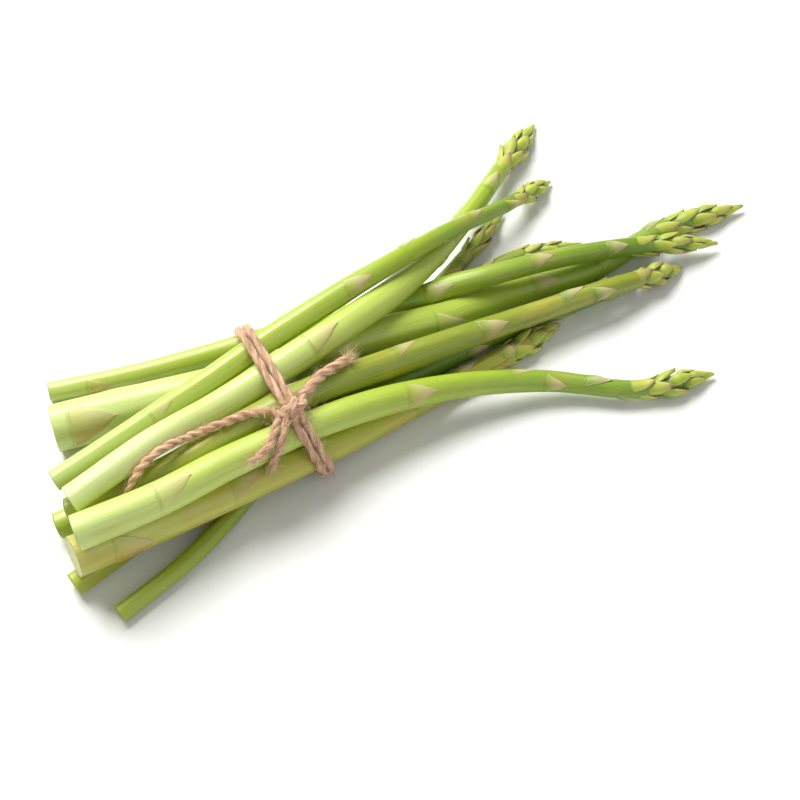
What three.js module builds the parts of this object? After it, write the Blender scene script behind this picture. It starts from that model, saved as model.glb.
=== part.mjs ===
// A bundle of ten asparagus spears that lies on a surface, tied once round with doubled jute string.
// Millimetres, +Z up. The origin is on the surface, under the middle of the bundle's outline.
import * as THREE from "three";

// Driving dimensions of the pile.
const STATIONS = 81; // points along each spear while the pile settles
const SETTLE_ROUNDS = 90;
const STIFFNESS = 12; // smoothing passes a round, so that a stem bends only gently
const HARD_ROUNDS = 8; // the last rounds only push apart, without any smoothing
const PUSH_SHARE = 0.4; // how much of an overlap each of the two spears gives way
const SETTLE_GAP = 0.6; // clearance the settling aims at, so that 0.3 is left everywhere
const FLAT_DEPTH = 0.25; // how far a resting stem is pressed flat on the surface

// Driving dimensions of the spears' meshes.
const SIDES = 12;
const STEM_RINGS = 20;
const HEAD_RINGS = 7;
const FULL_SHARE = 0.4; // where a stem has its middle diameter, as a share of the whole length
const SWELL = 0.36; // where a bud head is thickest, as a share of its length
const TIP_CURVE = 1.5; // how late a bud head narrows to its tip: 1 for a cone, more for a fuller point
const TIP_RADIUS = 0.3;

// Driving dimensions of the string.
const STRAND_RADIUS = 1.2;
const STRAND_GAP = 0.35;
const STRAND_SIDES = 8;
const BAND_STEPS = 44;
const TAIL_STEP = 1.6;
const BAND_CENTRE = new THREE.Vector3(-41.6, -19, 0); // a point of the tie's plane, on the surface
const BAND_TURN = THREE.MathUtils.degToRad(27); // the tie's normal, turned from +X towards +Y
const BAND_LEAN = THREE.MathUtils.degToRad(15); // and raised: the tie leans towards the cut ends
const BAND_FLOOR_REACH = 22; // how far along the bundle the string underneath lifts the spears
const KNOT_ANGLE = THREE.MathUtils.degToRad(148); // round the tie, from its far side over the top
const KNOT_SIZE = new THREE.Vector3(8, 9.5, 6.5); // round the bundle, along it, and outwards
const KNOT_LIFT = 2.2; // the knot's middle above the strands' middle
const KNOT_SIDES = [14, 10];
const KNOT_REACH = 0.02; // share of the loop on each side of the knot that gives the knot its direction
const SECTION_SAMPLES = 400; // along each spear, to find where it crosses the tie
const SECTION_POINTS = 48; // round each spear where it crosses the tie

const GREEN = 0x9fb83e;
const PALE_GREEN = 0xb9c76a;
const JUTE = 0xc79a80;

// Each route runs from the cut butt to the tip, along the middle of the stem. The diameters are those
// of the butt, the middle, the neck under the bud head, and the head at its thickest.
const SPEARS = [
  {
    name: "spear_01",
    colour: GREEN,
    route: [
      [-119, -19, 3], [-90, -12, 4], [-61, -4, 6],
      [-32, 5, 8], [-3, 13, 10], [26, 20, 15],
      [53, 31, 13], [81, 41, 8], [109, 48, 2],
    ],
    diameters: [6.7, 8.4, 6.5, 6.8],
    headLength: 26,
  },
  {
    name: "spear_02",
    colour: PALE_GREEN,
    route: [
      [-115, -38, 8], [-85, -28, 8], [-53, -19, 10],
      [-23, -9, 13], [6, 5, 10], [33, 22, 5],
      [63, 34, 4], [89, 52, 4], [120, 66, 2],
    ],
    diameters: [15.4, 12, 7.2, 8],
    headLength: 30,
  },
  {
    name: "spear_03",
    colour: GREEN,
    route: [
      [-108, -73, 25], [-87, -55, 25], [-67, -37, 24],
      [-46, -19, 26], [-24, -2, 28], [-3, 16, 27],
      [15, 37, 20], [34, 58, 10], [52, 79, 1],
    ],
    diameters: [7.1, 8.2, 5, 6.6],
    headLength: 19,
  },
  {
    name: "spear_04",
    colour: PALE_GREEN,
    route: [
      [-104, -81, 27], [-82, -59, 25], [-58, -38, 22],
      [-33, -19, 25], [-11, 2, 23], [6, 26, 16],
      [20, 53, 9], [34, 81, 6], [47, 108, 1],
    ],
    diameters: [9.2, 10.2, 6.3, 8.8],
    headLength: 29,
  },
  {
    name: "spear_05",
    colour: GREEN,
    route: [
      [-107, -73, 12], [-80, -63.5, 18], [-55, -49, 21],
      [-30, -33, 21], [-5, -18, 17], [20, -4, 14],
      [46, 10, 11], [72, 23, 9], [96, 38, 1],
    ],
    diameters: [8.6, 10, 6.6, 7.6],
    headLength: 20,
  },
  {
    name: "spear_06",
    colour: PALE_GREEN,
    route: [
      [-101, -93, 28], [-77, -78, 25], [-54, -61, 23],
      [-30, -46, 21], [-5, -32, 16], [21, -22, 11],
      [48, -17, 6], [77, -19, 4], [103, -10, 1],
    ],
    diameters: [11.4, 10, 6.2, 8.2],
    headLength: 25,
  },
  {
    name: "spear_07",
    colour: PALE_GREEN,
    route: [
      [-103, -93, 15], [-82, -81, 13], [-62, -70, 13],
      [-42, -58, 12], [-23, -44, 9], [-4, -30, 6],
      [15, -16, 4], [34, -3, 4], [52, 12, 2],
    ],
    diameters: [13.2, 10.4, 7.4, 7.8],
    headLength: 23,
  },
  {
    name: "spear_08",
    colour: GREEN,
    route: [
      [-111, -74, 4], [-85, -63, 7], [-60, -54, 12],
      [-35, -41, 14], [-13, -25, 9], [9, -9, 5],
      [32, 6, 4], [57, 19, 3], [81, 32, 1],
    ],
    diameters: [8.6, 8.3, 6.8, 7],
    headLength: 18,
  },
  {
    name: "spear_09",
    colour: GREEN,
    route: [
      [-104, -96, 4], [-84, -77, 3], [-65, -56, 4],
      [-43, -38, 9], [-22, -21, 10], [-6, 1, 4],
      [13, 21, 3], [35, 40, 3], [61, 49, 2],
    ],
    diameters: [7.4, 6.9, 6, 5.8],
    headLength: 22,
  },
  {
    name: "spear_10",
    colour: GREEN,
    route: [
      [-89, -106, 3], [-70, -87, 3], [-55, -67, 3],
      [-41, -45, 5], [-28, -21, 5], [-12, 0, 3],
      [6, 20, 3], [22, 42, 3], [35, 63, 2],
    ],
    diameters: [5.8, 5.8, 5.4, 6.2],
    headLength: 26,
  },
];

// The four cut ends of the string. Each route leaves the knot and runs along the middle of the string.
const TAILS = [
  {
    name: "twine_tail_long",
    route: [
      [-41.7, -46.4, 29.1], [-43.3, -46.8, 28.9], [-45, -47, 28.9], [-48, -47.6, 29.1],
      [-51, -48.4, 29.2], [-54, -49.6, 29.1], [-57, -51, 28.9], [-60, -52.2, 28.7],
      [-63, -53.4, 28.2], [-66, -54.7, 27.8], [-69, -56.3, 27.7], [-72, -58.4, 28.4],
      [-75, -60.8, 29.2], [-78, -63.6, 29.6], [-80.6, -66.4, 29.4], [-82.8, -69.1, 28.8],
      [-84.4, -71.4, 27.6], [-85.8, -73.2, 25.8], [-87, -74.4, 23.4],
    ],
  },
  {
    name: "twine_tail_right",
    route: [
      [-33.7, -42, 30], [-32.3, -39.4, 29.5], [-30.4, -36.4, 29.2], [-28.6, -33.6, 29],
      [-26.4, -31, 28.8], [-24, -28.6, 28.4], [-21.6, -26.2, 27.6], [-19.4, -23.8, 26.6],
    ],
  },
  {
    name: "twine_end_front_a",
    route: [
      [-40.7, -51.3, 30.1], [-41.1, -53.1, 30], [-41.6, -55.2, 29.7], [-42.3, -57.6, 28.9],
      [-43.2, -59.8, 28.2], [-44.8, -61.8, 27.6], [-46.6, -63.6, 27.1], [-48.6, -65, 27.1],
    ],
  },
  {
    name: "twine_end_front_b",
    route: [
      [-38.3, -53, 30.3], [-38.5, -54.4, 29.8], [-38.9, -55.9, 29], [-39.4, -57.8, 27.8],
      [-40.2, -59.8, 26.2], [-41.3, -61.4, 24.2], [-42.3, -62.4, 21.8], [-43, -62.6, 19.5],
    ],
  },
];

const up = new THREE.Vector3(0, 0, 1);
const bandAcross = new THREE.Vector3(-Math.sin(BAND_TURN), Math.cos(BAND_TURN), 0);
const bandNormal = new THREE.Vector3(Math.cos(BAND_TURN), Math.sin(BAND_TURN), 0)
  .multiplyScalar(Math.cos(BAND_LEAN))
  .addScaledVector(up, Math.sin(BAND_LEAN));
const bandUp = new THREE.Vector3().crossVectors(bandNormal, bandAcross);

// A value that passes smoothly from one to another between two shares of the length.
function ease(from, to, share, start, end) {
  return THREE.MathUtils.lerp(from, to, THREE.MathUtils.smoothstep(share, start, end));
}

// A radius from the spear's four diameters, at a share of its length.
function radiusAt(spear, length, share) {
  const [butt, middle, neck, head] = spear.diameters.map((d) => d / 2);
  const neckShare = 1 - spear.headLength / length;
  if (share < FULL_SHARE) {
    return ease(butt, middle, share, 0, FULL_SHARE);
  }
  if (share < neckShare) {
    return ease(middle, neck, share, FULL_SHARE, neckShare);
  }
  const along = (share - neckShare) / (1 - neckShare);
  if (along < SWELL) {
    return ease(neck, head, along, 0, SWELL);
  }
  const narrowing = (along - SWELL) / (1 - SWELL);
  return Math.max(head * (1 - Math.pow(narrowing, TIP_CURVE)), TIP_RADIUS);
}

// How high the surface under the spears is: flat, with the string's thickness where the tie passes under.
function floorUnder(point) {
  const off = point.clone().sub(BAND_CENTRE).dot(bandNormal) / BAND_FLOOR_REACH;
  return (2 * STRAND_RADIUS + 2 * STRAND_GAP) * Math.exp(-off * off);
}

function strung(spear) {
  const curve = new THREE.CatmullRomCurve3(spear.route.map((p) => new THREE.Vector3(...p)));
  const points = curve.getSpacedPoints(STATIONS - 1);
  const length = curve.getLength();
  const radii = points.map((_, i) => radiusAt(spear, length, i / (STATIONS - 1)));
  return { spear, points, radii, start: points.map((p) => p.clone()) };
}

// Pushes two spears apart wherever they are closer than their radii and the gap.
function pushApart(a, b) {
  const away = new THREE.Vector3();
  for (let i = 0; i < STATIONS; i++) {
    let deepest = 0;
    let partner = -1;
    for (let j = 0; j < STATIONS; j++) {
      const overlap = a.radii[i] + b.radii[j] + SETTLE_GAP - a.points[i].distanceTo(b.points[j]);
      if (overlap > deepest) {
        deepest = overlap;
        partner = j;
      }
    }
    if (partner >= 0) {
      away.subVectors(a.points[i], b.points[partner]).setLength(deepest * PUSH_SHARE);
      a.points[i].add(away);
      b.points[partner].sub(away);
    }
  }
}

// Smooths how far a spear has moved from its route, so that it stays a gently bent stem.
function stiffen(strand) {
  const last = STATIONS - 1;
  let moved = strand.points.map((p, i) => p.clone().sub(strand.start[i]));
  for (let pass = 0; pass < STIFFNESS; pass++) {
    moved = moved.map((m, i) => {
      const before = moved[Math.max(i - 1, 0)];
      const after = moved[Math.min(i + 1, last)];
      return m.clone().multiplyScalar(2).add(before).add(after).divideScalar(4);
    });
  }
  strand.points.forEach((p, i) => p.copy(strand.start[i]).add(moved[i]));
}

function keepAboveFloor(strand) {
  strand.points.forEach((p, i) => {
    p.z = Math.max(p.z, floorUnder(p) + strand.radii[i] - FLAT_DEPTH);
  });
}

// Lets the pile of spears find places in which no two of them press into each other.
function settle(spears) {
  const pile = spears.map(strung);
  for (let round = 0; round < SETTLE_ROUNDS; round++) {
    pile.forEach((a, i) => pile.slice(i + 1).forEach((b) => pushApart(a, b)));
    if (round < SETTLE_ROUNDS - HARD_ROUNDS) {
      pile.forEach(stiffen);
    }
    pile.forEach(keepAboveFloor);
  }
  return pile.map(({ spear, points }) => ({ spear, curve: new THREE.CatmullRomCurve3(points) }));
}

// Frames along a curve at the given shares of its length, carried along without twisting.
function framesAlong(curve, shares) {
  let side = up;
  return shares.map((share) => {
    const point = curve.getPointAt(share);
    const tangent = curve.getTangentAt(share);
    side = side.clone().addScaledVector(tangent, -side.dot(tangent)).normalize();
    return { point, side, other: new THREE.Vector3().crossVectors(tangent, side) };
  });
}

// A round body turned on its axis, ring by ring, then bent along a curve. It starts half a side round,
// so that one flat side faces down.
function bentRound(curve, shares, radii, sides) {
  const outline = shares.map((share, i) => new THREE.Vector2(radii[i], share));
  outline.unshift(new THREE.Vector2(0, shares[0]));
  outline.push(new THREE.Vector2(0, shares[shares.length - 1]));
  const body = new THREE.LatheGeometry(outline, sides, Math.PI / sides);
  const frames = framesAlong(curve, shares);
  frames.unshift(frames[0]);
  frames.push(frames[frames.length - 1]);
  const place = body.getAttribute("position");
  const bent = new THREE.Vector3();
  for (let i = 0; i < place.count; i++) {
    const { point, side, other } = frames[i % frames.length];
    bent.copy(point).addScaledVector(side, place.getX(i)).addScaledVector(other, -place.getZ(i));
    place.setXYZ(i, bent.x, bent.y, bent.z);
  }
  body.computeVertexNormals();
  return body;
}

function spearMesh({ spear, curve }) {
  const length = curve.getLength();
  const neckShare = 1 - spear.headLength / length;
  const stemShares = evenShares(STEM_RINGS).slice(0, -1).map((share) => share * neckShare);
  const headShares = evenShares(HEAD_RINGS).map((share) => neckShare + share * (1 - neckShare));
  const shares = [...stemShares, ...headShares];
  const radii = shares.map((share) => radiusAt(spear, length, share));
  const body = bentRound(curve, shares, radii, SIDES);
  const place = body.getAttribute("position");
  for (let i = 0; i < place.count; i++) {
    place.setZ(i, Math.max(place.getZ(i), 0));
  }
  const skin = new THREE.MeshStandardMaterial({ color: spear.colour, roughness: 0.5, metalness: 0 });
  const mesh = new THREE.Mesh(body, skin);
  mesh.name = spear.name;
  return mesh;
}

// Where a spear crosses the plane of the tie, and the outline there that the string's middle runs round.
function sectionPoints({ spear, curve }, planeShift) {
  const samples = curve.getSpacedPoints(SECTION_SAMPLES);
  const offOf = (p) => p.clone().sub(BAND_CENTRE).dot(bandNormal) - planeShift;
  const crossing = samples.findIndex((p, i) => i > 0 && offOf(samples[i - 1]) < 0 && offOf(p) >= 0);
  if (crossing < 0) {
    return [];
  }
  const share = crossing / SECTION_SAMPLES;
  const tangent = curve.getTangentAt(share);
  const reach = radiusAt(spear, curve.getLength(), share) + STRAND_RADIUS + STRAND_GAP;
  const slant = Math.abs(tangent.dot(bandNormal));
  const long = tangent.clone().addScaledVector(bandNormal, -tangent.dot(bandNormal)).normalize();
  const short = new THREE.Vector3().crossVectors(bandNormal, long);
  const points = [];
  for (let i = 0; i < SECTION_POINTS; i++) {
    const turn = (i / SECTION_POINTS) * 2 * Math.PI;
    const p = samples[crossing].clone().addScaledVector(short, reach * Math.cos(turn));
    p.addScaledVector(long, (reach / slant) * Math.sin(turn)).sub(BAND_CENTRE);
    points.push(new THREE.Vector2(p.dot(bandAcross), p.dot(bandUp)));
  }
  return points;
}

function turnsLeft(a, b, c) {
  return (b.x - a.x) * (c.y - a.y) - (b.y - a.y) * (c.x - a.x) > 0;
}

// The taut outline round a set of points: their convex hull, anticlockwise.
function tautOutline(points) {
  const sorted = [...points].sort((a, b) => a.x - b.x || a.y - b.y);
  const side = (list) => {
    const chain = [];
    for (const p of list) {
      while (chain.length > 1 && !turnsLeft(...chain.slice(-2), p)) {
        chain.pop();
      }
      chain.push(p);
    }
    return chain.slice(0, -1);
  };
  return [...side(sorted), ...side(sorted.reverse())];
}

// The middle of one strand, all the way round the pile and back to where it started.
function strandLoop(pile, planeShift) {
  const outline = tautOutline(pile.flatMap((item) => sectionPoints(item, planeShift)));
  const corners = outline.map(({ x, y }) => {
    const corner = BAND_CENTRE.clone().addScaledVector(bandNormal, planeShift);
    corner.addScaledVector(bandAcross, x).addScaledVector(bandUp, y);
    return corner.setZ(Math.max(corner.z, STRAND_RADIUS));
  });
  const loop = new THREE.CurvePath();
  corners.forEach((p, i) => loop.add(new THREE.LineCurve3(p, corners[(i + 1) % corners.length])));
  return loop;
}

// The place on a loop that lies in the knot's direction from the middle of the pile.
function knotShareOf(loop) {
  const samples = loop.getSpacedPoints(SECTION_SAMPLES);
  const middle = new THREE.Box3().setFromPoints(samples).getCenter(new THREE.Vector3());
  const aim = bandAcross.clone().multiplyScalar(Math.cos(KNOT_ANGLE));
  aim.addScaledVector(bandUp, Math.sin(KNOT_ANGLE));
  const score = samples.map((p) => p.clone().sub(middle).normalize().dot(aim));
  return score.indexOf(Math.max(...score)) / SECTION_SAMPLES;
}

// One strand of the tie: it leaves one face of the knot, goes round the pile and ends at the other face.
function strandCurve(loop, knotShare) {
  const clear = (KNOT_SIZE.x / 2 + STRAND_GAP) / loop.getLength();
  const places = evenShares(BAND_STEPS).map((share) => knotShare + clear + (1 - 2 * clear) * share);
  return new THREE.CatmullRomCurve3(places.map((place) => loop.getPointAt(place % 1)));
}

function evenShares(steps) {
  return Array.from({ length: steps + 1 }, (_, i) => i / steps);
}

function cordMesh(name, curve, steps, radius) {
  const shares = evenShares(steps);
  const body = bentRound(curve, shares, shares.map(() => radius), STRAND_SIDES);
  const mesh = new THREE.Mesh(body, juteFinish());
  mesh.name = name;
  return mesh;
}

function juteFinish() {
  return new THREE.MeshStandardMaterial({ color: JUTE, roughness: 0.95, metalness: 0 });
}

function knotMesh(loop, knotShare) {
  const before = loop.getPointAt(knotShare - KNOT_REACH);
  const along = loop.getPointAt((knotShare + KNOT_REACH) % 1).sub(before).normalize();
  const outwards = new THREE.Vector3().crossVectors(along, bandNormal);
  const body = new THREE.SphereGeometry(0.5, ...KNOT_SIDES);
  body.scale(KNOT_SIZE.x, KNOT_SIZE.y, KNOT_SIZE.z);
  body.applyMatrix4(new THREE.Matrix4().makeBasis(along, bandNormal, outwards));
  const mesh = new THREE.Mesh(body, juteFinish());
  mesh.position.copy(loop.getPointAt(knotShare)).addScaledVector(outwards, KNOT_LIFT);
  mesh.name = "twine_knot";
  return mesh;
}

function tailMesh({ name, route }) {
  const curve = new THREE.CatmullRomCurve3(route.map((p) => new THREE.Vector3(...p)));
  return cordMesh(name, curve, Math.ceil(curve.getLength() / TAIL_STEP), STRAND_RADIUS);
}

const bundle = new THREE.Group();
const pile = settle(SPEARS);
pile.forEach((item) => bundle.add(spearMesh(item)));

// The doubled string: two strands side by side, then the knot that joins them and its four cut ends.
const strandShift = STRAND_RADIUS + STRAND_GAP / 2;
const STRANDS = { twine_band_left: -strandShift, twine_band_right: strandShift };
for (const [name, shift] of Object.entries(STRANDS)) {
  const loop = strandLoop(pile, shift);
  bundle.add(cordMesh(name, strandCurve(loop, knotShareOf(loop)), BAND_STEPS, STRAND_RADIUS));
}
const middleLoop = strandLoop(pile, 0);
bundle.add(knotMesh(middleLoop, knotShareOf(middleLoop)));
TAILS.forEach((tail) => bundle.add(tailMesh(tail)));

export default bundle;
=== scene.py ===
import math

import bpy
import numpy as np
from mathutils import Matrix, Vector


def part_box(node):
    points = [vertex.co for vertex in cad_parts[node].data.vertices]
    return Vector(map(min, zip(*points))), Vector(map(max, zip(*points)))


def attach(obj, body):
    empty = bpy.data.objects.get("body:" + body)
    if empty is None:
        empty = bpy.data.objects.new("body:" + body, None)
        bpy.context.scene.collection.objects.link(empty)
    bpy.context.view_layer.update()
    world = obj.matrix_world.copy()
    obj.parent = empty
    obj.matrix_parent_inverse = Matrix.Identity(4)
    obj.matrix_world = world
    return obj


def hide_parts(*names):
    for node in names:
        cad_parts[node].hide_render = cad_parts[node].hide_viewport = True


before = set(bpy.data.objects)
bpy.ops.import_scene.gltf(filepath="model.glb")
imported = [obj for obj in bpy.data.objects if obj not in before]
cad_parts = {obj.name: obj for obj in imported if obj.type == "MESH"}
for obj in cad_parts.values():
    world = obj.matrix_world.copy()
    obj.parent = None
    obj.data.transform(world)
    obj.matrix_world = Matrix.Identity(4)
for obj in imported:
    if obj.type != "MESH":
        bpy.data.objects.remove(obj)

# %% [markdown]
# # A small bunch of green asparagus, tied with jute string
#
# Ten spears lie on a surface, all cut at one end and closed to a pointed bud head at the other. A doubled
# jute string holds them together near the cut ends. The frame gives each spear and each string as a plain
# rod. This lesson gives every rod its real surface: ridged skin, scale leaves, bud heads, cut faces, twisted
# yarn and loose fibres. Every surface is worked out as a whole numpy array and then put into a mesh.

MM = 0.001
TURN = 2 * math.pi
FLOOR_GAP = 0.02 * MM  # how far everything stays above the surface
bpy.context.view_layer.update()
print("frame:", len(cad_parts), "rods and a knot")

# %% [markdown]
# ## The camera
#
# The bunch is seen from the front and well above. A long lens keeps the near butts and the far tips at
# nearly the same scale. The camera turns about the middle of the bunch, so one elevation and one distance
# place it, and a moved or shifted camera isn't needed.

# %% Camera
CAMERA_TARGET = (-0.0024, -0.0260, 0.0080)
CAMERA_DISTANCE = 0.731
CAMERA_ELEVATION = math.radians(52)
CAMERA_LENS = 100


def add_camera():
    """The camera is back from its target by the cosine of its elevation, and up by the sine."""
    data = bpy.data.cameras.new("camera")
    data.lens = CAMERA_LENS
    data.sensor_width = 36
    camera = bpy.data.objects.new("camera", data)
    x, y, z = CAMERA_TARGET
    out = CAMERA_DISTANCE * math.cos(CAMERA_ELEVATION)
    camera.location = (x, y - out, z + CAMERA_DISTANCE * math.sin(CAMERA_ELEVATION))
    camera.rotation_euler = (math.pi / 2 - CAMERA_ELEVATION, 0, 0)
    bpy.context.scene.collection.objects.link(camera)
    bpy.context.scene.camera = camera


add_camera()
print("camera:", tuple(round(v, 3) for v in bpy.context.scene.camera.location))

# %% [markdown]
# ## Surfaces as arrays
#
# Everything on the bunch is either a rod, which is a row of rings closed at both ends, or a leaf, which is a
# thin curved shell. Each of them is a grid of points. A skin keeps such a grid's points and faces, together
# with the marks that the materials read later: how far up the spear a point is, or how near to a leaf's edge.
# Several skins are joined to one piece, because a spear grows its leaves and they can't come apart.


# %% Skins
class Skin:
    """A closed surface: points, faces with four and with three corners, and marks with one row per point."""

    def __init__(self, points, quads, triangles, marks):
        self.points = points
        self.quads = quads
        self.triangles = triangles
        self.marks = marks
        if self.volume() < 0:
            self.quads = quads[:, ::-1]
            self.triangles = triangles[:, ::-1]

    def volume(self):
        """The sum of the signed volumes between the origin and each triangle: negative if faces point in."""
        halves = np.concatenate([self.triangles, self.quads[:, [0, 1, 2]], self.quads[:, [0, 2, 3]]])
        a, b, c = (self.points[halves[:, k]] - self.points.mean(0) for k in range(3))
        return float(np.einsum("ij,ij->i", a, np.cross(b, c)).sum() / 6)


def grid_quads(rows, columns, closed):
    """The faces between the points of a grid: each point, its next in the row, and the two after them."""
    i, j = np.meshgrid(np.arange(rows - 1), np.arange(columns if closed else columns - 1), indexing="ij")
    k = (j + 1) % columns
    corners = [i * columns + j, i * columns + k, (i + 1) * columns + k, (i + 1) * columns + j]
    return np.stack([c.ravel() for c in corners], axis=1)


def rod_skin(rings, marks):
    """A grid of rings closed all round, with a pole in the middle of the first and of the last ring."""
    rows, columns = rings.shape[:2]
    ends = np.stack([rings[0].mean(0), rings[-1].mean(0)])
    points = np.concatenate([rings.reshape(-1, 3), ends])
    around = np.arange(columns)
    beside = (around + 1) % columns
    first, last = rows * columns, rows * columns + 1
    butt = np.stack([beside, around, np.full(columns, first)], axis=1)
    tip = np.stack([around + first - columns, beside + first - columns, np.full(columns, last)], axis=1)
    flat = {}
    for name, grid in marks.items():
        whole = grid.reshape(rows * columns, -1)
        flat[name] = np.concatenate([whole, grid[0].mean(0).reshape(1, -1), grid[-1].mean(0).reshape(1, -1)])
    return Skin(points, grid_quads(rows, columns, True), np.concatenate([butt, tip]), flat)


def leaf_skin(outer, inner, marks):
    """Two grids, one over the other, joined along their edges to a thin closed shell."""
    rows, columns = outer.shape[:2]
    count = rows * columns
    index = np.arange(count).reshape(rows, columns)
    edge = np.concatenate([index[0], index[1:, -1], index[-1, -2::-1], index[-2:0:-1, 0]])
    after = np.roll(edge, -1)
    top = grid_quads(rows, columns, False)
    wall = np.stack([after, edge, edge + count, after + count], axis=1)
    quads = np.concatenate([top, top[:, ::-1] + count, wall])
    points = np.concatenate([outer.reshape(-1, 3), inner.reshape(-1, 3)])
    flat = {name: np.tile(grid.reshape(count, -1), (2, 1)) for name, grid in marks.items()}
    return Skin(points, quads, np.zeros((0, 3), int), flat)


# %% [markdown]
# ## From skins to a piece
#
# A piece's mesh is filled in bulk. The marks go along as attributes, so that a material can ask for them by
# name. The piece then rides on the bunch's only body, takes its material and takes the place of its rod,
# which is hidden.


# %% Pieces
def fill_mesh(name, skins):
    """Joins skins to one mesh: each skin's faces count on from the points before it."""
    starts = np.cumsum([0] + [len(s.points) for s in skins[:-1]])
    quads = np.concatenate([s.quads + k for s, k in zip(skins, starts)])
    triangles = np.concatenate([s.triangles + k for s, k in zip(skins, starts)])
    points = np.concatenate([s.points for s in skins])
    sizes = np.concatenate([np.full(len(quads), 4), np.full(len(triangles), 3)])
    mesh = bpy.data.meshes.new(name)
    mesh.vertices.add(len(points))
    mesh.vertices.foreach_set("co", points.astype(np.float32).ravel())
    mesh.loops.add(int(sizes.sum()))
    corners = np.concatenate([quads.ravel(), triangles.ravel()])
    mesh.loops.foreach_set("vertex_index", corners.astype(np.int32))
    mesh.polygons.add(len(sizes))
    mesh.polygons.foreach_set("loop_start", np.concatenate([[0], np.cumsum(sizes)[:-1]]).astype(np.int32))
    mesh.polygons.foreach_set("use_smooth", np.ones(len(sizes), bool))
    for mark in skins[0].marks:
        values = np.concatenate([s.marks[mark] for s in skins]).astype(np.float32)
        kind, key = ("FLOAT_VECTOR", "vector") if values.shape[1] == 3 else ("FLOAT", "value")
        mesh.attributes.new(mark, kind, "POINT").data.foreach_set(key, values.ravel())
    mesh.update()
    mesh.validate()
    return mesh


def add_piece(name, skins, material, nodes=()):
    """Makes a piece of skins, puts it on the bunch's body and hides the rods that it stands for."""
    piece = bpy.data.objects.new(name, fill_mesh(name, skins))
    bpy.context.scene.collection.objects.link(piece)
    piece.data.materials.append(material)
    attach(piece, "root")
    if nodes:
        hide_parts(*nodes)
    return piece


# %% [markdown]
# ## Reading a rod of the frame
#
# A rod of the frame is a stack of rings between two poles. Starting from a pole and stepping outwards over
# the faces, each step lands on the next ring. The middle of each ring is a point of the rod's centreline.
# A smooth line through these points carries the fine surfaces.


# %% Centrelines
def rings_of(node):
    """Steps over the faces from one pole to the other: gives each ring's middle and its radius."""
    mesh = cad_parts[node].data
    corners = np.empty(len(mesh.vertices) * 3, np.float32)
    mesh.vertices.foreach_get("co", corners)
    points, index = np.unique(np.round(corners.reshape(-1, 3), 6), axis=0, return_inverse=True)
    loops = np.empty(len(mesh.loops), np.int32)
    mesh.loops.foreach_get("vertex_index", loops)
    faces = index.ravel()[loops].reshape(-1, 3)
    touch = np.zeros((len(points), len(points)), bool)
    touch[faces, np.roll(faces, 1, axis=1)] = True
    touch |= touch.T
    level = np.arange(len(points)) == touch.sum(0).argmax()
    seen = level.copy()
    centres, radii = [], []
    while level.any():
        level = touch[level].any(0) & ~seen
        seen |= level
        if level.sum() > 1:
            ring = points[level]
            centres.append(ring.mean(0))
            radii.append(np.median(np.linalg.norm(ring - ring.mean(0), axis=1)))
    return np.array(centres, float), np.array(radii, float)


def distances(points):
    """How far along the line each of its points is."""
    return np.concatenate([[0], np.cumsum(np.linalg.norm(np.diff(points, axis=0), axis=1))])


def smooth(known, values, at):
    """Cubic curves between known values, with the slope at each value taken from its neighbours."""
    slope = np.gradient(values, known, axis=0)
    i = np.clip(np.searchsorted(known, at, side="right") - 1, 0, len(known) - 2)
    span = known[i + 1] - known[i]
    t = ((at - known[i]) / span)[:, None]
    span = span[:, None]
    start = values[i] * (1 + 2 * t) * (1 - t) ** 2 + slope[i] * span * t * (1 - t) ** 2
    return start + values[i + 1] * t**2 * (3 - 2 * t) + slope[i + 1] * span * t**2 * (t - 1)


def unit(vectors):
    """Each vector divided by its own length."""
    return vectors / np.linalg.norm(vectors, axis=-1, keepdims=True)


def frames(line, reference):
    """At each point of a line: its direction, the reference made square to it, and the third direction."""
    forward = unit(np.gradient(line, axis=0))
    side = unit(reference - (forward @ reference)[:, None] * forward)
    return forward, side, np.cross(forward, side)


def smoothstep(x, low, high):
    """0 up to low, 1 from high on, and t * t * (3 - 2 * t) in between."""
    t = np.clip((x - low) / (high - low), 0, 1)
    return t * t * (3 - 2 * t)
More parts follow.
